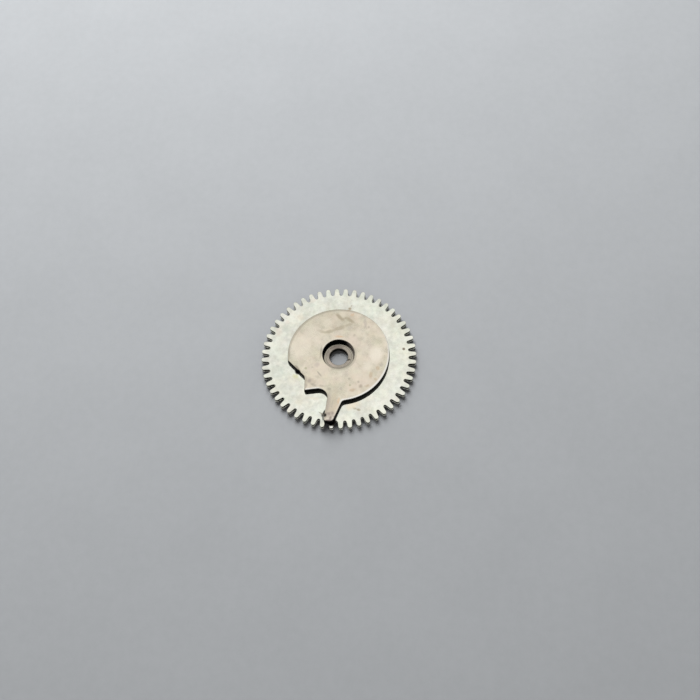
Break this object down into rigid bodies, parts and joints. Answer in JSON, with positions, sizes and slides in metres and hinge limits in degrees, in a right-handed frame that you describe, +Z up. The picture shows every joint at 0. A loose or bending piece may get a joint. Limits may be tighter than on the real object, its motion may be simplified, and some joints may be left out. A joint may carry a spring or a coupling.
{
  "type": "day star driving wheel",
  "caption": "Thin toothed watch wheel with a finger plate riveted on top by its collar, and a bearing bush, that steps a calendar star once a day.",
  "frame": {"origin": "on the axis of turning, at the level of the face that the part lies on", "axes": "+Z up the axis, from the wheel towards the finger plate; the finger points along -Y and one tooth lies exactly on -Y"},
  "size_m": [0.0072, 0.0072, 0.0005],
  "materials": {
    "wheel_metal": "nickel plated, fine satin, lightly scuffed",
    "plate_metal": "tumbled hardened steel, warm grey, lightly stained",
    "bush_metal": "turned, satin"
  },
  "bodies": {
    "root": {"driving_wheel": "wheel_metal", "finger_plate": "plate_metal", "hub_bush": "bush_metal"}
  },
  "joints": []
}
